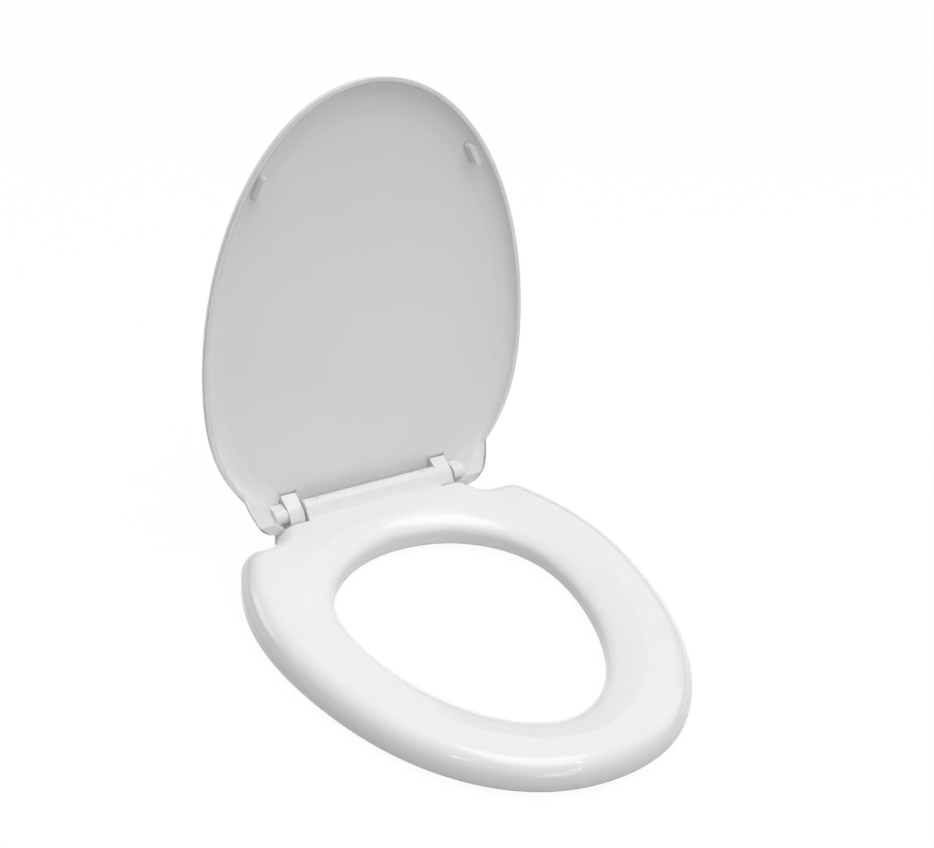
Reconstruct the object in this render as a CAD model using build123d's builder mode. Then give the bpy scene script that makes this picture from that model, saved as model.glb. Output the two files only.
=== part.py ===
"""Toilet seat: a moulded ring and lid on two hinge posts that bolt to the bowl.

Millimetres, +Z up. The origin is on the bowl's deck, midway between the hinge bolts. The hinge axis
runs along X above it, the seat's front is towards -Y. The seat is down and the lid stands open.
"""

import os
from math import atan2, copysign, cos, degrees, hypot, pi, radians, sin, sqrt

from build123d import *

os.makedirs("parts", exist_ok=True)

# Hinge
AXIS_Z = 35.0
PIN_RADIUS = 4.0
PIN_RUNNING = 0.08
BOLT_SPACING = 155.0
POST_WIDTH = 15.0
POST_TOP_Z = 48.5
POST_REAR = 14.5
POST_BROW_Y = -2.0
POST_BROW_Z = 41.3
POST_FRONT = 9.5
POST_FRONT_Z = 31.0
POST_WAIST_REAR = 7.0
POST_WAIST_Z = 20.5
POST_REAR_ROUND = 1.5
POST_BROW_ROUND = 12.0
POST_FRONT_ROUND = 8.0
SIDE_PLAY = 1.2
KNUCKLE_LENGTH = 13.8
EAR_BORE_DEPTH = 11.0
PIN_END_PLAY = 0.6
PIN_CHAMFER = 0.6

# Seat ring
SEAT_WIDTH = 347.0
SEAT_REACH = 405.0
SEAT_WIDEST_Y = -137.0
SEAT_REAR_REACH = 211.0
SEAT_FRONT_POWER = 2.15
SEAT_REAR_POWER = 1.8
RING_BASE_Z = 6.0
CROWN_FRONT_Z = 26.5
CROWN_REAR_Z = 32.8
RING_ROUND = 19.0
WALL = 3.0
SHOULDER_Y = -25.0
SHOULDER_ROUND = 22.0
TAIL_WIDTH = 202.0
TAIL_ROUND = 16.0
NOTCH_PLAY = 3.9
RIB_THICKNESS = 2.2
RIB_DROP = 4.0
RIB_ANGLES = (20, 58, 90, 122, 160)

# Opening and the slope that falls to it
OPENING_WIDTH = 211.0
OPENING_WIDEST_Y = -160.0
OPENING_FRONT_REACH = 175.7
OPENING_REAR_REACH = 104.2
OPENING_FRONT_POWER = 1.9
OPENING_REAR_POWER = 2.05
SLOPE_WIDTH = 42.0
SLOPE_WIDTH_REAR = 26.0
SLOPE_DEPTH = 10.5
SLOPE_OVERRUN = 0.4
SLOPE_POWER = 1.8
SLOPE_STEPS = 3
ROUND_STEPS = 2
INNER_ROUND = 5.0

# Hinge tongue of the seat
TONGUE_TOP_Z = 45.0
TONGUE_REAR = 5.2
TONGUE_UNDER = 9.0
TONGUE_EDGE = 2.5
TONGUE_RISE_START = -17.5
TONGUE_RISE_END = 0.0
SLIT_WIDTH = 0.8
SLIT_DEPTH = 0.8
SLIT_LENGTH = 7.0

# Lid, in its own plane: the rim's height over the hinge axis when the lid lies level
LID_OPEN_ANGLE = 92.5
LID_WIDTH = 317.0
LID_REACH = 391.0
LID_WIDEST_Y = -133.3
LID_REAR_REACH = 161.0
LID_FRONT_POWER = 2.04
LID_REAR_POWER = 2.32
LID_REAR = 12.0
LID_CORNER = 12.0
LID_RIM_Z = 4.0
LID_CROWN_Z = 18.5
LID_CROWN_RADIUS = 20000.0
LID_CROWN_Y = -150.0
LID_ROUND = 12.0
LID_WALL = 3.2
LID_RIM_WIDTH = 4.0
COVE_WIDTH = 18.0
COVE_FRONT = 30.0
COVE_DEPTH = 10.0
COVE_STEPS = 3
EAR_OUTLINE = (
    (101.5, 11.5), (107.8, 9.3), (113.8, 4.3), (118.2, -2.2), (123.7, -9.5), (131.2, -20.0), (139.0, -31.0),
)
EAR_TIP_Z = -9.0
EAR_TOP_Z = 14.6
EAR_LEAN = 0.75
EAR_RAMP_Y = 2.8
EAR_RAMP_Z = 12.0
EAR_RAMP = 1.1
EAR_BOSS_RADIUS = 7.5
EAR_BOSS_REACH = 9.0
EAR_BOSS_LENGTH = 12.5
HINGE_RELIEF_Y = -22.0
HINGE_RELIEF_Z = 13.0
SLOT_PLAY = 0.6

# Buffers
LID_BUFFER_X = 101.5
LID_BUFFER_Y = -310.0
LID_BUFFER_TURN = 26.0
LID_BUFFER_LENGTH = 20.0
LID_BUFFER_WIDTH = 5.0
LID_BUFFER_PROUD = 2.2
LID_PEG_RADIUS = 1.6
LID_PEG_DEPTH = 1.8
LID_PAD_PART = 0.62
LID_PAD_MARGIN = 0.8
SEAT_BUFFER_LENGTH = 36.0
SEAT_BUFFER_WIDTH = 12.0
SEAT_SOCKET_WALL = 2.0
SEAT_SOCKET_Z = 9.0
SEAT_PEG_RADIUS = 3.0
SEAT_PEG_DEPTH = 6.0
SEAT_BUFFER_CHAMFER = 1.0
SEAT_BUFFER_ANGLES = {"front": -52.0, "rear": 24.0}

# Fixings
GASKET_THICKNESS = 2.5
FOOT_WIDTH = 28.0
FOOT_FRONT = 12.5
FOOT_REAR = 14.5
FOOT_THICKNESS = 5.0
FOOT_CORNER = 5.0
BOLT_HEAD = 11.0
BOLT_HEAD_HEIGHT = 5.0
BOLT_HEAD_PLAY = 0.3
NECK_RADIUS = 4.0
SHANK_RADIUS = 4.3
SHANK_ABOVE = 1.5
BOLT_PLAY = 0.4
GASKET_PLAY = 1.5
DECK_THICKNESS = 18.0
THREAD_LENGTH = 28.0
WASHER_RADIUS = 15.0
WASHER_THICKNESS = 4.0
WASHER_COLLAR_RADIUS = 9.0
WASHER_COLLAR_HEIGHT = 2.0
NUT_RADIUS = 8.0
NUT_HEIGHT = 13.0
WING_SPAN = 38.0
WING_THICKNESS = 4.0
WING_HEIGHT = 11.0
WING_ROUND = 3.0

POST_X = BOLT_SPACING / 2
TONGUE_HALF = POST_X - POST_WIDTH / 2 - SIDE_PLAY
EAR_INNER_X = POST_X + POST_WIDTH / 2 + SIDE_PLAY
NOTCH_Y = -POST_FRONT - NOTCH_PLAY
SLOT_RADIUS = hypot(POST_REAR, POST_TOP_Z - AXIS_Z) + SLOT_PLAY
SEAT_FRONT_REACH = SEAT_REACH + SEAT_WIDEST_Y
LID_FRONT_REACH = LID_REACH + LID_WIDEST_Y
POST_FOOT_Z = GASKET_THICKNESS
HEAD_SEAT_Z = POST_FOOT_Z + FOOT_THICKNESS
CROWN_SLOPE = (CROWN_REAR_Z - CROWN_FRONT_Z) / (NOTCH_Y + SEAT_REACH)
WELL_ABOVE = 2 * CROWN_REAR_Z
LID_PAD_Z = LID_RIM_Z + COVE_DEPTH * LID_PAD_PART
SIDES = {"left": -1, "right": 1}

turn = radians(LID_OPEN_ANGLE)
LID = Plane(origin=(0, 0, AXIS_Z), x_dir=(1, 0, 0), z_dir=(0, sin(turn), cos(turn)))
LID_UP = Axis(LID.origin, LID.z_dir)


def crown_plane(depth):
    """The plane of the ring's crown, which rises a little to the rear, lowered by depth."""
    height = CROWN_REAR_Z - CROWN_SLOPE * NOTCH_Y - depth
    return Plane(origin=(0, 0, height), x_dir=(1, 0, 0), z_dir=(0, -CROWN_SLOPE, 1))


def crown_height(y):
    """Height of the ring's crown at y."""
    return CROWN_REAR_Z + CROWN_SLOPE * (y - NOTCH_Y)


def oval_point(angle, half_width, front, rear, widest_y, front_power, rear_power):
    """A point of an egg-shaped outline made of two half super-ellipses."""
    reach, power = (rear, rear_power) if sin(angle) > 0 else (front, front_power)
    x = half_width * copysign(abs(cos(angle)) ** (2 / power), cos(angle))
    y = widest_y + reach * copysign(abs(sin(angle)) ** (2 / power), sin(angle))
    return x, y


def oval_face(*shape, steps=20):
    """Fills an egg-shaped outline whose seam lies at its rear end."""
    with BuildLine() as outline:
        Spline(*[oval_point(pi / 2 + 2 * pi * i / steps, *shape) for i in range(steps)], periodic=True)
    return make_face(outline.edges())


def seat_oval(inset=0):
    """The ring's outer outline."""
    return (
        SEAT_WIDTH / 2 - inset, SEAT_FRONT_REACH - inset, SEAT_REAR_REACH - inset,
        SEAT_WIDEST_Y, SEAT_FRONT_POWER, SEAT_REAR_POWER,
    )


def opening_oval(side=0, rear=0):
    """The opening's outline, widened by side, and by rear at its rear end."""
    return (
        OPENING_WIDTH / 2 + side, OPENING_FRONT_REACH + side, OPENING_REAR_REACH + rear,
        OPENING_WIDEST_Y, OPENING_FRONT_POWER, OPENING_REAR_POWER,
    )


def lid_oval(side=0, front=0):
    """The lid's outer outline, drawn in by side, and by front at its front end."""
    return (
        LID_WIDTH / 2 - side, LID_FRONT_REACH - front, LID_REAR_REACH - side,
        LID_WIDEST_Y, LID_FRONT_POWER, LID_REAR_POWER,
    )


def ring_form(inset):
    """The ring's filled outer form, or, inset by the wall, the hollow under it."""
    base_z = RING_BASE_Z if inset == 0 else 0
    with BuildPart() as form:
        with BuildSketch(Plane.XY.offset(base_z)):
            oval_face(*seat_oval(inset))
            with Locations((0, SHOULDER_Y - inset)):
                Rectangle(
                    2 * SEAT_WIDTH, SEAT_REACH, align=(Align.CENTER, Align.MIN), mode=Mode.SUBTRACT
                )
                Rectangle(TAIL_WIDTH - 2 * inset, 2 * abs(SHOULDER_Y), align=(Align.CENTER, Align.MIN))
        extrude(amount=WELL_ABOVE)
        corners = form.edges().filter_by(Axis.Z)
        corners = corners.filter_by_position(Axis.Y, SHOULDER_Y - inset - 1, SHOULDER_Y - inset + 1)
        corners = corners.sort_by(lambda edge: abs(edge.center().X))
        fillet(corners[2:], SHOULDER_ROUND - inset)
        tail_corners = form.edges().filter_by(Axis.Z)
        tail_corners = tail_corners.filter_by_position(
            Axis.Y, SHOULDER_Y - inset - 1, SHOULDER_Y - inset + 1
        )
        tail_corners = tail_corners.sort_by(lambda edge: abs(edge.center().X))
        fillet(tail_corners[:2], TAIL_ROUND + inset)
        split(bisect_by=crown_plane(inset), keep=Keep.BOTTOM)
        rim = form.faces().sort_by(Axis.Z)[-1].edges()
        fillet(rim.filter_by(lambda edge: edge.center().Y < abs(SHOULDER_Y) / 2), RING_ROUND - inset)
        with Locations((0, NOTCH_Y - inset, base_z)):
            Box(
                SEAT_WIDTH, SEAT_REACH, 2 * WELL_ABOVE,
                align=(Align.CENTER, Align.MIN, Align.CENTER), mode=Mode.SUBTRACT,
            )
    return form.part


def opening_form():
    """The opening and the soft slope that falls to it."""
    spreads = [INNER_ROUND * (1 - cos(pi / 2 * step / ROUND_STEPS)) for step in range(ROUND_STEPS)]
    slope_run = SLOPE_WIDTH - INNER_ROUND
    spreads += [INNER_ROUND + slope_run * step / SLOPE_STEPS for step in range(SLOPE_STEPS + 1)]
    with BuildPart() as form:
        for spread in spreads:
            fall = (SLOPE_DEPTH + SLOPE_OVERRUN) * (1 - spread / SLOPE_WIDTH) ** SLOPE_POWER - SLOPE_OVERRUN
            edge = max(INNER_ROUND - spread, 0)
            fall += INNER_ROUND - (INNER_ROUND**2 - edge**2) ** 0.5
            with BuildSketch(crown_plane(fall)):
                oval_face(*opening_oval(spread, spread * SLOPE_WIDTH_REAR / SLOPE_WIDTH))
        loft()
        extrude(form.faces().sort_by(Axis.Z)[-1], amount=WELL_ABOVE)
        extrude(form.faces().sort_by(Axis.Z)[0], amount=WELL_ABOVE)
    return form.part


def opening_wall_form():
    """What the hollow leaves for the wall round the opening and under the slope."""
    with BuildPart() as form:
        with BuildSketch(crown_plane(SLOPE_DEPTH + INNER_ROUND / 2 + WALL)):
            oval_face(*opening_oval(WALL, WALL))
        with BuildSketch(crown_plane(WALL)):
            oval_face(*opening_oval(SLOPE_WIDTH + WALL, SLOPE_WIDTH_REAR + WALL))
        loft(ruled=True)
        extrude(form.faces().sort_by(Axis.Z)[-1], amount=WELL_ABOVE)
        extrude(form.faces().sort_by(Axis.Z)[0], amount=WELL_ABOVE)
    return form.part


def ring_place(angle):
    """A point midway between the ring's outer edge and the opening, and the ring's run there in degrees."""
    middle = [(a + b) / 2 for a, b in zip(seat_oval(), opening_oval())]
    here = oval_point(radians(angle), *middle)
    ahead = oval_point(radians(angle + 1), *middle)
    return here, degrees(atan2(ahead[1] - here[1], ahead[0] - here[0]))


buffer_places = {}
for end, angle in SEAT_BUFFER_ANGLES.items():
    (x, y), run = ring_place(angle)
    buffer_places[f"{end}_right"] = ((x, y), run)
    buffer_places[f"{end}_left"] = ((-x, y), -run)

def tongue_face(inset):
    """Side view of the tongue that rises from the ring to the hinge, or of the hollow inside it."""
    rear = TONGUE_REAR - inset
    top = TONGUE_TOP_Z - inset
    under = AXIS_Z - TONGUE_UNDER - inset
    rise_end = TONGUE_RISE_END - inset
    start_y = TONGUE_RISE_START + inset
    start = (start_y, crown_height(start_y) - inset)
    with BuildLine() as outline:
        Spline(start, (rise_end, top), tangents=((1, CROWN_SLOPE), (1, 0)))
        Line((rise_end, top), (rear - TONGUE_EDGE, top))
        RadiusArc((rear - TONGUE_EDGE, top), (rear, top - TONGUE_EDGE), TONGUE_EDGE)
        Polyline(
            (rear, top - TONGUE_EDGE), (rear, AXIS_Z), (rear - TONGUE_UNDER / 2, under),
            (start_y, under), start,
        )
    return make_face(outline.edges())


# Seat ring
with BuildPart() as hollow:
    add(ring_form(WALL))
    add(opening_wall_form(), mode=Mode.SUBTRACT)
    for angle in RIB_ANGLES:
        with Locations(Location((0, OPENING_WIDEST_Y, RING_BASE_Z + RIB_DROP), (0, 0, angle))):
            Box(
                2 * SEAT_REACH, RIB_THICKNESS, WELL_ABOVE,
                align=(Align.CENTER, Align.CENTER, Align.MIN), mode=Mode.SUBTRACT,
            )
    for place, run in buffer_places.values():
        with BuildSketch(Plane.XY.offset(SEAT_SOCKET_Z)):
            with Locations(Location((*place, 0), (0, 0, run))):
                SlotOverall(
                    SEAT_BUFFER_LENGTH + 2 * SEAT_SOCKET_WALL, SEAT_BUFFER_WIDTH + 2 * SEAT_SOCKET_WALL
                )
        extrude(amount=WELL_ABOVE, mode=Mode.SUBTRACT)
        with Locations((*place, SEAT_SOCKET_Z)):
            Cylinder(SEAT_PEG_RADIUS, 2 * SEAT_PEG_DEPTH)
    with BuildSketch(Plane.YZ):
        tongue_face(WALL)
    extrude(amount=TONGUE_HALF - KNUCKLE_LENGTH, both=True)
    with BuildSketch(Plane.YZ):
        with Locations((0, AXIS_Z)):
            Circle(PIN_RADIUS + PIN_RUNNING)
    extrude(amount=TONGUE_HALF, both=True)
    for side in SIDES.values():
        with Locations((side * (TONGUE_HALF - KNUCKLE_LENGTH), TONGUE_REAR, TONGUE_TOP_Z)):
            Box(SLIT_WIDTH, 2 * SLIT_LENGTH, 2 * SLIT_DEPTH)

with BuildPart() as seat_ring:
    add(ring_form(0))
    with BuildSketch(Plane.YZ):
        tongue_face(0)
    extrude(amount=TONGUE_HALF, both=True)
    add(hollow.part, mode=Mode.SUBTRACT)
    add(opening_form(), mode=Mode.SUBTRACT)

seat_ring.part.label = "seat_ring"
export_step(seat_ring.part, "parts/seat_ring.step")

# Seat buffers
for end, (place, run) in buffer_places.items():
    with BuildPart() as seat_buffer:
        with BuildSketch():
            with Locations(Location((*place, 0), (0, 0, run))):
                SlotOverall(SEAT_BUFFER_LENGTH, SEAT_BUFFER_WIDTH)
        extrude(amount=SEAT_SOCKET_Z)
        chamfer(seat_buffer.faces().sort_by(Axis.Z)[0].edges(), SEAT_BUFFER_CHAMFER)
        with Locations((*place, SEAT_SOCKET_Z)):
            Cylinder(SEAT_PEG_RADIUS, SEAT_PEG_DEPTH, align=(Align.CENTER, Align.CENTER, Align.MIN))
    seat_buffer.part.label = f"seat_buffer_{end}"
    export_step(seat_buffer.part, f"parts/seat_buffer_{end}.step")


def lid_buffer_slot(side, height, margin):
    """Outline of a lid buffer, or of the pad it sits on, at a height over the hinge axis."""
    with BuildSketch(LID.offset(height)) as sketch:
        with Locations(Location((side * LID_BUFFER_X, LID_BUFFER_Y, 0), (0, 0, 90 - side * LID_BUFFER_TURN))):
            SlotOverall(LID_BUFFER_LENGTH + 2 * margin, LID_BUFFER_WIDTH + 2 * margin)
    return sketch.sketch


def lid_form():
    """The lid's filled outer form: an oval with a straight rear edge and a softly domed crown."""
    with BuildPart() as form:
        with BuildSketch(LID.offset(LID_RIM_Z)):
            oval_face(*lid_oval())
            with Locations((0, LID_REAR)):
                Rectangle(LID_WIDTH, LID_REACH, align=(Align.CENTER, Align.MIN), mode=Mode.SUBTRACT)
        extrude(amount=2 * LID_CROWN_Z)
        corners = form.edges().filter_by(LID_UP)
        fillet(corners.filter_by(lambda edge: LID.to_local_coords(edge.center()).Y > LID_REAR - 1), LID_CORNER)
        with Locations(LID.offset(LID_CROWN_Z - LID_CROWN_RADIUS).location * Location((0, LID_CROWN_Y, 0))):
            Sphere(LID_CROWN_RADIUS, mode=Mode.INTERSECT)
        fillet(form.faces().sort_by(LID_UP)[-1].edges(), LID_ROUND)
    return form.part


def lid_dish():
    """The hollow inside the lid: a soft cove inside the rim that runs into a flat ceiling."""
    insets = []
    for step in range(COVE_STEPS + 1):
        bend = pi / 2 * step / COVE_STEPS
        run = 1 - cos(bend)
        insets.append((COVE_WIDTH * run, COVE_FRONT * run, COVE_DEPTH * sin(bend)))
    with BuildPart() as form:
        for side, front, height in insets:
            with BuildSketch(LID.offset(LID_RIM_Z + height)):
                oval_face(*lid_oval(LID_RIM_WIDTH + side, LID_RIM_WIDTH + front))
        loft()
        extrude(form.faces().sort_by(LID_UP)[0], amount=LID_CROWN_Z)
    return form.part


def ear_form(side):
    """An ear that flares out past the hinge axis, with a face that ramps down from the lid's ceiling."""
    outer_x, outer_y = EAR_OUTLINE[-1]
    rear_x, rear_y = EAR_OUTLINE[0]
    with BuildPart() as ear:
        with BuildSketch(LID.offset(EAR_TIP_Z)) as plan:
            with BuildLine():
                Spline(*[(side * x, y) for x, y in EAR_OUTLINE])
                Polyline(
                    (side * outer_x, outer_y), (side * EAR_INNER_X, outer_y),
                    (side * EAR_INNER_X, rear_y), (side * rear_x, rear_y),
                )
            make_face()
        lean = LID.z_dir - Vector(side * EAR_LEAN, 0, 0)
        extrude(plan.sketch, amount=(EAR_TOP_Z - EAR_TIP_Z) * lean.length, dir=lean)
        slope = EAR_RAMP / sqrt(2)
        uphill = LID.x_dir * (side * slope) + LID.y_dir * slope + LID.z_dir
        ramp_start = LID.from_local_coords((side * EAR_INNER_X, EAR_RAMP_Y, EAR_RAMP_Z))
        split(bisect_by=Plane(origin=ramp_start, z_dir=uphill), keep=Keep.TOP)
    return ear.part


# Lid
with BuildPart() as lid_hollow:
    add(lid_dish())
    with BuildSketch(LID):
        with Locations((0, HINGE_RELIEF_Y)):
            Rectangle(2 * TONGUE_HALF, LID_REAR - HINGE_RELIEF_Y, align=(Align.CENTER, Align.MIN))
    extrude(amount=HINGE_RELIEF_Z)
    with BuildSketch(LID):
        with Locations((0, LID_REAR - LID_WALL)):
            Rectangle(LID_WIDTH, LID_REACH, align=(Align.CENTER, Align.MIN))
    extrude(amount=2 * LID_CROWN_Z, mode=Mode.SUBTRACT)
    for side in SIDES.values():
        extrude(lid_buffer_slot(side, LID_PAD_Z, LID_PAD_MARGIN), amount=LID_CROWN_Z, mode=Mode.SUBTRACT)
        with BuildSketch(LID.offset(LID_PAD_Z)):
            with Locations((side * LID_BUFFER_X, LID_BUFFER_Y)):
                Circle(LID_PEG_RADIUS)
        extrude(amount=LID_PEG_DEPTH)

with BuildPart() as lid:
    add(lid_form())
    add(lid_hollow.part, mode=Mode.SUBTRACT)
    for side in SIDES.values():
        add(ear_form(side))
    for side in SIDES.values():
        with Locations(Location((side * POST_X, 0, AXIS_Z), (0, 90, 0))):
            Cylinder(SLOT_RADIUS, POST_WIDTH + 2 * SIDE_PLAY, mode=Mode.SUBTRACT)
    for side in SIDES.values():
        with BuildSketch(Plane.YZ.offset(side * EAR_INNER_X)):
            with Locations((0, AXIS_Z)):
                Circle(EAR_BOSS_RADIUS)
                with Locations(Location((0, 0, 0), (0, 0, 90 - LID_OPEN_ANGLE))):
                    Rectangle(EAR_BOSS_REACH, 2 * EAR_BOSS_RADIUS, align=(Align.MIN, Align.CENTER))
        extrude(amount=side * EAR_BOSS_LENGTH)
        with BuildSketch(Plane.YZ.offset(side * EAR_INNER_X)):
            with Locations((0, AXIS_Z)):
                Circle(PIN_RADIUS + PIN_RUNNING)
        extrude(amount=side * EAR_BORE_DEPTH, mode=Mode.SUBTRACT)

lid.part.label = "lid"
export_step(lid.part, "parts/lid.step")

# Lid buffers
for hand, side in SIDES.items():
    with BuildPart() as lid_buffer:
        proud_z = LID_RIM_Z - LID_BUFFER_PROUD
        extrude(lid_buffer_slot(side, proud_z, 0), amount=LID_PAD_Z - proud_z)
        with BuildSketch(LID.offset(LID_PAD_Z)):
            with Locations((side * LID_BUFFER_X, LID_BUFFER_Y)):
                Circle(LID_PEG_RADIUS)
        extrude(amount=LID_PEG_DEPTH)
    lid_buffer.part.label = f"lid_buffer_{hand}"
    export_step(lid_buffer.part, f"parts/lid_buffer_{hand}.step")

# Hinge posts, pins and fixings
for hand, side in SIDES.items():
    post_x = side * POST_X
    with BuildPart() as post:
        with BuildSketch(Plane.YZ.offset(post_x)):
            with BuildLine():
                Polyline(
                    (-POST_FRONT, POST_FOOT_Z), (-POST_FRONT, POST_FRONT_Z), (POST_BROW_Y, POST_BROW_Z),
                    (POST_REAR, POST_TOP_Z), (POST_REAR, POST_WAIST_Z + POST_REAR - POST_WAIST_REAR),
                    (POST_WAIST_REAR, POST_WAIST_Z), (POST_WAIST_REAR, POST_FOOT_Z), close=True,
                )
            make_face()
        extrude(amount=POST_WIDTH / 2, both=True)
        for corner, radius in (
            ((post_x, POST_REAR, POST_TOP_Z), POST_REAR_ROUND),
            ((post_x, POST_BROW_Y, POST_BROW_Z), POST_BROW_ROUND),
            ((post_x, -POST_FRONT, POST_FRONT_Z), POST_FRONT_ROUND),
        ):
            fillet(post.edges().filter_by(Axis.X).sort_by_distance(corner)[0], radius)
        with BuildSketch(Plane.XY.offset(POST_FOOT_Z)):
            with Locations((post_x, (FOOT_REAR - FOOT_FRONT) / 2)):
                RectangleRounded(FOOT_WIDTH, FOOT_FRONT + FOOT_REAR, FOOT_CORNER)
        extrude(amount=FOOT_THICKNESS)
        with Locations((post_x, -BOLT_HEAD / 2 - BOLT_HEAD_PLAY, HEAD_SEAT_Z)):
            Box(
                BOLT_HEAD + 2 * BOLT_HEAD_PLAY, BOLT_HEAD + 2 * FOOT_REAR, BOLT_HEAD_HEIGHT + BOLT_HEAD_PLAY,
                align=(Align.CENTER, Align.MIN, Align.MIN), mode=Mode.SUBTRACT,
            )
        with BuildSketch(Plane.XY.offset(POST_FOOT_Z)):
            with Locations((post_x, 0)):
                Circle(NECK_RADIUS + BOLT_PLAY)
                Rectangle(2 * (NECK_RADIUS + BOLT_PLAY), 2 * FOOT_REAR, align=(Align.CENTER, Align.MIN))
        extrude(amount=FOOT_THICKNESS, mode=Mode.SUBTRACT)
        with BuildSketch(Plane.YZ.offset(post_x)):
            with Locations((0, AXIS_Z)):
                Circle(PIN_RADIUS)
        extrude(amount=POST_WIDTH, both=True, mode=Mode.SUBTRACT)
    post.part.label = f"hinge_post_{hand}"
    export_step(post.part, f"parts/hinge_post_{hand}.step")

    pin_start = TONGUE_HALF - KNUCKLE_LENGTH
    pin_end = EAR_INNER_X + EAR_BORE_DEPTH - PIN_END_PLAY
    with BuildPart() as pin:
        with BuildSketch(Plane.YZ.offset(side * pin_start)):
            with Locations((0, AXIS_Z)):
                Circle(PIN_RADIUS)
        extrude(amount=side * (pin_end - pin_start))
        chamfer(pin.edges().filter_by(GeomType.CIRCLE), PIN_CHAMFER)
    pin.part.label = f"hinge_pin_{hand}"
    export_step(pin.part, f"parts/hinge_pin_{hand}.step")

    with BuildPart() as bolt:
        with Locations((post_x, 0, HEAD_SEAT_Z)):
            Box(
                BOLT_HEAD, BOLT_HEAD, BOLT_HEAD_HEIGHT, align=(Align.CENTER, Align.CENTER, Align.MIN)
            )
            Cylinder(NECK_RADIUS, HEAD_SEAT_Z, align=(Align.CENTER, Align.CENTER, Align.MAX))
        with Locations((post_x, 0, SHANK_ABOVE)):
            Cylinder(
                SHANK_RADIUS, DECK_THICKNESS + SHANK_ABOVE, align=(Align.CENTER, Align.CENTER, Align.MAX)
            )
        with Locations((post_x, 0, -DECK_THICKNESS)):
            Cylinder(NECK_RADIUS, THREAD_LENGTH, align=(Align.CENTER, Align.CENTER, Align.MAX))
        chamfer(bolt.faces().sort_by(Axis.Z)[0].edges(), PIN_CHAMFER)
    bolt.part.label = f"hinge_bolt_{hand}"
    export_step(bolt.part, f"parts/hinge_bolt_{hand}.step")

    with BuildPart() as gasket:
        with BuildSketch():
            with Locations((post_x, (FOOT_REAR - FOOT_FRONT) / 2)):
                RectangleRounded(FOOT_WIDTH, FOOT_FRONT + FOOT_REAR, FOOT_CORNER)
            with Locations((post_x, 0)):
                Circle(SHANK_RADIUS + GASKET_PLAY, mode=Mode.SUBTRACT)
        extrude(amount=GASKET_THICKNESS)
    gasket.part.label = f"base_gasket_{hand}"
    export_step(gasket.part, f"parts/base_gasket_{hand}.step")

    with BuildPart() as washer:
        with Locations((post_x, 0, -DECK_THICKNESS)):
            Cylinder(WASHER_RADIUS, WASHER_THICKNESS, align=(Align.CENTER, Align.CENTER, Align.MAX))
        with Locations((post_x, 0, -DECK_THICKNESS - WASHER_THICKNESS)):
            Cylinder(WASHER_COLLAR_RADIUS, WASHER_COLLAR_HEIGHT, align=(Align.CENTER, Align.CENTER, Align.MAX))
        with Locations((post_x, 0, -DECK_THICKNESS)):
            Hole(NECK_RADIUS + BOLT_PLAY)
    washer.part.label = f"clamp_washer_{hand}"
    export_step(washer.part, f"parts/clamp_washer_{hand}.step")

    nut_top = -DECK_THICKNESS - WASHER_THICKNESS - WASHER_COLLAR_HEIGHT
    with BuildPart() as nut:
        with Locations((post_x, 0, nut_top)):
            Cone(NUT_RADIUS * 0.8, NUT_RADIUS, NUT_HEIGHT, align=(Align.CENTER, Align.CENTER, Align.MAX))
        with BuildSketch(Plane.XZ.offset(-WING_THICKNESS / 2)):
            with Locations((post_x, nut_top - NUT_HEIGHT)):
                RectangleRounded(WING_SPAN, WING_HEIGHT, WING_ROUND, align=(Align.CENTER, Align.MIN))
        extrude(amount=WING_THICKNESS)
        with Locations((post_x, 0, nut_top)):
            Hole(NECK_RADIUS)
    nut.part.label = f"wing_nut_{hand}"
    export_step(nut.part, f"parts/wing_nut_{hand}.step")
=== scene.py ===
"""A white plastic toilet seat with its lid open, photographed on white."""

import math

import bmesh
import bpy
from mathutils import Matrix, Vector
from mathutils.geometry import interpolate_bezier


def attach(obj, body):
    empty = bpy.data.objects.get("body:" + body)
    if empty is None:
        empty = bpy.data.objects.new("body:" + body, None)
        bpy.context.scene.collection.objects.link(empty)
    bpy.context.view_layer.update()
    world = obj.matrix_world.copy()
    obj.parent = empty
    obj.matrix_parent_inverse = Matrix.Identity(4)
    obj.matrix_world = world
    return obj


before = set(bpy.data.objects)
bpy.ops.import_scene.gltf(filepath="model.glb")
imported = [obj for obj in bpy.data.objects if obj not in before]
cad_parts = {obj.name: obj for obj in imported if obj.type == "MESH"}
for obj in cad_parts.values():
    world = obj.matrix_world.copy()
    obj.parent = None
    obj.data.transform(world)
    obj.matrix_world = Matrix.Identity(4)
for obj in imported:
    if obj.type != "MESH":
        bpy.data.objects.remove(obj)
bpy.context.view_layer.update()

# Camera, fitted to the photograph's outlines
IMAGE_WIDTH = 934
IMAGE_HEIGHT = 848
FOCAL_PX = 1817.54
CENTRE_PX = (464.467, 461.943)
TARGET = Vector((0.0, -0.157, 0.155))
AZIMUTH = math.radians(-32.755)
ELEVATION = math.radians(30.916)
ROLL = math.radians(3.862)
DISTANCE = 1.5

# Plastic
GRAIN_SCALE = 900.0
GRAIN_DEPTH = 0.0001
TONE_SCALE = 14.0
TONE_DARKEST = 0.985
GLOSS_CHANGE = 0.08
EDGE_SAMPLES = 6

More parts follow.
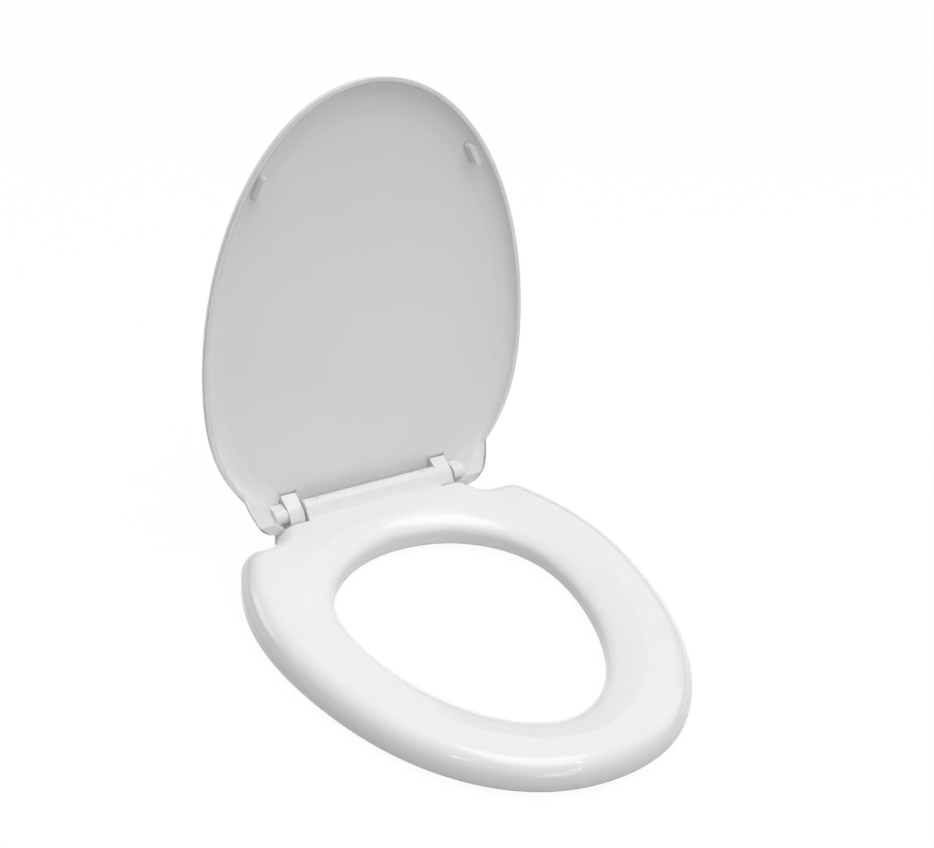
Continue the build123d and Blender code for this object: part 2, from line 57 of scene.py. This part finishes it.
# Lid, in its own plane: X along the hinge, Y to the rear, Z up when the lid lies level; millimetres
MM = 0.001
AXIS_HEIGHT = 0.035
LID_ANGLE = math.radians(92.5)
EAR_EDGE = [
    (101.5, 11.5), (107.8, 9.3), (113.8, 4.3), (118.2, -2.2),
    (123.7, -9.5), (131.2, -20.0), (139.0, -31.0),
]
EAR_INSET = 0.15
EAR_INNER = 86.6
EAR_LOW = -9
EAR_HIGH = 14.5
EAR_LEAN = 0.75
STEP_START = (2.8, 12)
STEP_SLOPE = 1.77
DROOP_START = (-22, 4)
DROOP_SLOPE = 0.55
CHEEKS = {"inner": (68.6, 69.6), "outer": (85.4, 86.4)}
CHEEK_FRONT = -17
CHEEK_REAR = 0
CHEEK_LOW = 13.2
CHEEK_HIGH = 18.2

# Floor and room
FLOOR_HALF = 60
FLOOR_GREY = 0.46
FLOOR_WHITE = 1.08
SHADOW_SHARE = 0.12
ROOM_STRENGTH = 0.75
ROOM_DARKEST = 0.12
ROOM_RISE = (0.1, 0.9)

# Each lamp's place, aim, size in metres, power in watts and spread in degrees
LAMPS = {
    "overhead": ((0.2, -0.3, 1.9), (0.0, -0.2, 0.0), (1.4, 1.0), 11.4, 180),
    "overhead_rear": ((0.1, 0.3, 1.9), (0.0, -0.1, 0.0), (1.4, 0.8), 1.6, 180),
    "right": ((1.9, -0.5, 1.0), (0.0, -0.1, 0.15), (1.2, 1.2), 4.9, 180),
    "beam": ((-0.25, -1.8, 0.9), (0.0, 0.0, 0.02), (0.6, 0.3), 0.09, 26),
    "left_rear": ((-1.08, 1.53, 0.71), (-0.16, -0.1, 0.03), (0.8, 0.5), 2.8, 180),
    "lid_fill": ((0.3, -1.8, 1.0), (0.0, 0.0, 0.2), (0.5, 0.3), 0.07, 22),
    "strip_upper": ((0.51, -0.955, 1.744), (0.03, -0.055, 0.024), (0.14, 0.02), 0.8, 180),
    "strip_lower": ((0.23, -1.655, 1.2), (0.03, -0.055, 0.024), (0.16, 0.02), 0.8, 180),
    "strip_left": ((-1.155, -0.695, 1.46), (0.085, -0.095, 0.021), (0.14, 0.02), 0.8, 180),
}


def show(name, data):
    """A new object of the scene."""
    made = bpy.data.objects.new(name, data)
    bpy.context.scene.collection.objects.link(made)
    return made


def add_camera():
    """The photograph's camera, with its roll and its off-centre axis."""
    back = Vector((
        math.sin(AZIMUTH) * math.cos(ELEVATION),
        -math.cos(AZIMUTH) * math.cos(ELEVATION),
        math.sin(ELEVATION),
    ))
    level = Vector((math.cos(AZIMUTH), math.sin(AZIMUTH), 0.0))
    upright = back.cross(level)
    right = level * math.cos(ROLL) + upright * math.sin(ROLL)
    up = upright * math.cos(ROLL) - level * math.sin(ROLL)
    data = bpy.data.cameras.new("camera")
    data.sensor_width = 36.0
    data.lens = FOCAL_PX / IMAGE_WIDTH * data.sensor_width
    data.shift_x = (IMAGE_WIDTH / 2 - CENTRE_PX[0]) / IMAGE_WIDTH
    data.shift_y = (CENTRE_PX[1] - IMAGE_HEIGHT / 2) / IMAGE_WIDTH
    data.clip_start = 0.05
    camera = show("camera", data)
    turn = Matrix((right, up, back)).transposed().to_4x4()
    camera.matrix_world = Matrix.Translation(TARGET + back * DISTANCE) @ turn
    bpy.context.scene.camera = camera


def add_lamp(name, place, towards, size, power, spread):
    """A rectangular lamp that faces a point."""
    data = bpy.data.lights.new(name, "AREA")
    data.shape = "RECTANGLE"
    data.size, data.size_y = size
    data.energy = power
    data.spread = math.radians(spread)
    lamp = show(name, data)
    lamp.location = place
    aim = Vector(towards) - Vector(place)
    lamp.rotation_euler = aim.to_track_quat("-Z", "Y").to_euler()


def plastic(name, grey, roughness, grain, edge):
    """White plastic: slightly uneven tone and gloss, a fine grain and softened edges."""
    material = bpy.data.materials.new(name)
    material.use_nodes = True
    nodes = material.node_tree.nodes
    links = material.node_tree.links
    shader = nodes["Principled BSDF"]
    place = nodes.new("ShaderNodeTexCoord")

    noise = nodes.new("ShaderNodeTexNoise")
    noise.inputs["Scale"].default_value = GRAIN_SCALE
    noise.inputs["Detail"].default_value = 3.0
    links.new(place.outputs["Object"], noise.inputs["Vector"])
    soften = nodes.new("ShaderNodeBevel")
    soften.samples = EDGE_SAMPLES
    soften.inputs["Radius"].default_value = edge
    bump = nodes.new("ShaderNodeBump")
    bump.inputs["Strength"].default_value = grain
    bump.inputs["Distance"].default_value = GRAIN_DEPTH
    links.new(noise.outputs["Fac"], bump.inputs["Height"])
    links.new(soften.outputs["Normal"], bump.inputs["Normal"])
    links.new(bump.outputs["Normal"], shader.inputs["Normal"])

    tone = nodes.new("ShaderNodeTexNoise")
    tone.inputs["Scale"].default_value = TONE_SCALE
    links.new(place.outputs["Object"], tone.inputs["Vector"])
    ramp = nodes.new("ShaderNodeValToRGB")
    dark = grey * TONE_DARKEST
    ramp.color_ramp.elements[0].color = (dark, dark, dark, 1)
    ramp.color_ramp.elements[1].color = (grey, grey, grey, 1)
    links.new(tone.outputs["Fac"], ramp.inputs["Fac"])
    links.new(ramp.outputs["Color"], shader.inputs["Base Color"])
    gloss = nodes.new("ShaderNodeMapRange")
    gloss.inputs["To Min"].default_value = roughness * (1 - GLOSS_CHANGE)
    gloss.inputs["To Max"].default_value = roughness * (1 + GLOSS_CHANGE)
    links.new(tone.outputs["Fac"], gloss.inputs["Value"])
    links.new(gloss.outputs["Result"], shader.inputs["Roughness"])
    return material


def smooth_line(points):
    """Points of a smooth line through the given ones."""
    ends = [points[0], *points, points[-1]]
    line = [points[0]]
    for before, start, end, after in zip(ends, ends[1:], ends[2:], ends[3:]):
        leave = start + (end - before) / 6
        arrive = end - (after - start) / 6
        line += interpolate_bezier(start, leave, arrive, end, 6)[1:]
    return line


def lid_place():
    """From the lid's own plane, in millimetres, to the frame."""
    across = MM * math.cos(LID_ANGLE)
    along = MM * math.sin(LID_ANGLE)
    return Matrix((
        (MM, 0, 0, 0),
        (0, across, along, 0),
        (0, -along, across, AXIS_HEIGHT),
        (0, 0, 0, 1),
    ))


def lid_prism(name, material, outline, low, high, lean, cuts):
    """A leaning prism in the lid's own plane, less what lies behind each cut."""
    shape = bmesh.new()
    foot = [shape.verts.new((x, y, low)) for x, y in outline]
    head = [shape.verts.new((x + lean * (high - low), y, high)) for x, y in outline]
    shape.faces.new(foot)
    shape.faces.new(head)
    for i in range(len(outline)):
        shape.faces.new((foot[i - 1], foot[i], head[i], head[i - 1]))
    for point, normal in cuts:
        parts = shape.verts[:] + shape.edges[:] + shape.faces[:]
        bmesh.ops.bisect_plane(shape, geom=parts, plane_co=point, plane_no=normal, clear_inner=True)
        bmesh.ops.holes_fill(shape, edges=shape.edges[:])
    bmesh.ops.recalc_face_normals(shape, faces=shape.faces[:])
    mesh = bpy.data.meshes.new(name)
    shape.to_mesh(mesh)
    shape.free()
    mesh.transform(lid_place())
    mesh.materials.append(material)
    piece = show(name, mesh)
    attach(piece, "lid")


def add_ear_face(hand, side, material):
    """The face of one ear: a step down from the lid's ceiling, then a droop in front of the hinge."""
    edge = smooth_line([Vector((side * (x - EAR_INSET), y)) for x, y in EAR_EDGE])
    front, rear = EAR_EDGE[-1][1], EAR_EDGE[0][1]
    edge += [Vector((side * EAR_INNER, front)), Vector((side * EAR_INNER, rear))]
    cuts = [
        ((side * EAR_INNER, 0, 0), (side, 0, 0)),
        ((side * EAR_INNER, *STEP_START), (side * STEP_SLOPE, STEP_SLOPE, 1)),
        ((0, *DROOP_START), (0, DROOP_SLOPE, 1)),
    ]
    lid_prism("ear_face_" + hand, material, edge, EAR_LOW, EAR_HIGH, -EAR_LEAN * side, cuts)


def add_slot_cheeks(hand, side, material):
    """The thin walls that narrow the lid's slot on both sides of one post."""
    for place, (near, far) in CHEEKS.items():
        cheek = [
            (side * near, CHEEK_FRONT), (side * far, CHEEK_FRONT),
            (side * far, CHEEK_REAR), (side * near, CHEEK_REAR),
        ]
        name = "slot_cheek_%s_%s" % (place, hand)
        lid_prism(name, material, cheek, CHEEK_LOW, CHEEK_HIGH, 0, [])


def paper():
    """Plain paper that is white to the eye and in reflections, with a trace of the shadow left."""
    material = bpy.data.materials.new("paper")
    material.use_nodes = True
    nodes = material.node_tree.nodes
    links = material.node_tree.links
    nodes.clear()
    sight = nodes.new("ShaderNodeLightPath")
    seen = nodes.new("ShaderNodeMath")
    seen.operation = "MAXIMUM"
    links.new(sight.outputs["Is Camera Ray"], seen.inputs[0])
    links.new(sight.outputs["Is Transmission Ray"], seen.inputs[1])
    shown = nodes.new("ShaderNodeMath")
    shown.operation = "MAXIMUM"
    links.new(seen.outputs["Value"], shown.inputs[0])
    links.new(sight.outputs["Is Glossy Ray"], shown.inputs[1])
    share = nodes.new("ShaderNodeMath")
    share.operation = "MULTIPLY"
    share.inputs[1].default_value = 1 - SHADOW_SHARE
    links.new(shown.outputs["Value"], share.inputs[0])
    diffuse = nodes.new("ShaderNodeBsdfDiffuse")
    diffuse.inputs["Color"].default_value = (FLOOR_GREY, FLOOR_GREY, FLOOR_GREY, 1)
    white = nodes.new("ShaderNodeEmission")
    white.inputs["Strength"].default_value = FLOOR_WHITE
    mix = nodes.new("ShaderNodeMixShader")
    links.new(share.outputs["Value"], mix.inputs["Fac"])
    links.new(diffuse.outputs["BSDF"], mix.inputs[1])
    links.new(white.outputs["Emission"], mix.inputs[2])
    out = nodes.new("ShaderNodeOutputMaterial")
    links.new(mix.outputs["Shader"], out.inputs["Surface"])
    return material


def add_floor():
    """A wide level floor at the height of the bowl's deck."""
    half = FLOOR_HALF
    corners = [(-half, -half, 0), (half, -half, 0), (half, half, 0), (-half, half, 0)]
    mesh = bpy.data.meshes.new("floor")
    mesh.from_pydata(corners, [], [(0, 1, 2, 3)])
    mesh.materials.append(paper())
    floor = show("floor", mesh)


def add_room():
    """A room that is bright overhead and dim at the horizon, with a white backdrop to the eye."""
    world = bpy.data.worlds.new("studio")
    bpy.context.scene.world = world
    world.use_nodes = True
    nodes = world.node_tree.nodes
    links = world.node_tree.links
    background = nodes["Background"]
    background.inputs["Strength"].default_value = ROOM_STRENGTH
    where = nodes.new("ShaderNodeTexCoord")
    split = nodes.new("ShaderNodeSeparateXYZ")
    links.new(where.outputs["Generated"], split.inputs["Vector"])
    rise = nodes.new("ShaderNodeMapRange")
    rise.inputs["From Min"].default_value = ROOM_RISE[0]
    rise.inputs["From Max"].default_value = ROOM_RISE[1]
    rise.inputs["To Min"].default_value = ROOM_DARKEST
    links.new(split.outputs["Z"], rise.inputs["Value"])
    links.new(rise.outputs["Result"], background.inputs["Color"])
    backdrop = nodes.new("ShaderNodeBackground")
    backdrop.inputs["Color"].default_value = (1, 1, 1, 1)
    sight = nodes.new("ShaderNodeLightPath")
    mix = nodes.new("ShaderNodeMixShader")
    links.new(sight.outputs["Is Camera Ray"], mix.inputs["Fac"])
    links.new(background.outputs["Background"], mix.inputs[1])
    links.new(backdrop.outputs["Background"], mix.inputs[2])
    links.new(mix.outputs["Shader"], nodes["World Output"].inputs["Surface"])


add_camera()

# Materials: tone, roughness, grain and the radius of the softened edges in metres
shell = plastic("white_moulding", 0.86, 0.1, 0.02, 0.0025)
post = plastic("white_hinge", 0.86, 0.16, 0.02, 0.0008)
soft = plastic("buffer_rubber", 0.84, 0.5, 0.1, 0.0005)
plain = plastic("white_plastic", 0.84, 0.4, 0.05, 0.0004)
for name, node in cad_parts.items():
    kind = plain
    if name in ("lid", "seat_ring"):
        kind = shell
    elif name.startswith("hinge_post"):
        kind = post
    elif "buffer" in name or "gasket" in name:
        kind = soft
    node.data.materials.clear()
    node.data.materials.append(kind)

# Small forms of the lid that the solids lack
for hand, side in (("left", -1), ("right", 1)):
    add_ear_face(hand, side, post)
    add_slot_cheeks(hand, side, plain)

add_floor()
add_room()
for name, lamp in LAMPS.items():
    add_lamp(name, *lamp)

bpy.context.scene.view_settings.view_transform = "Standard"
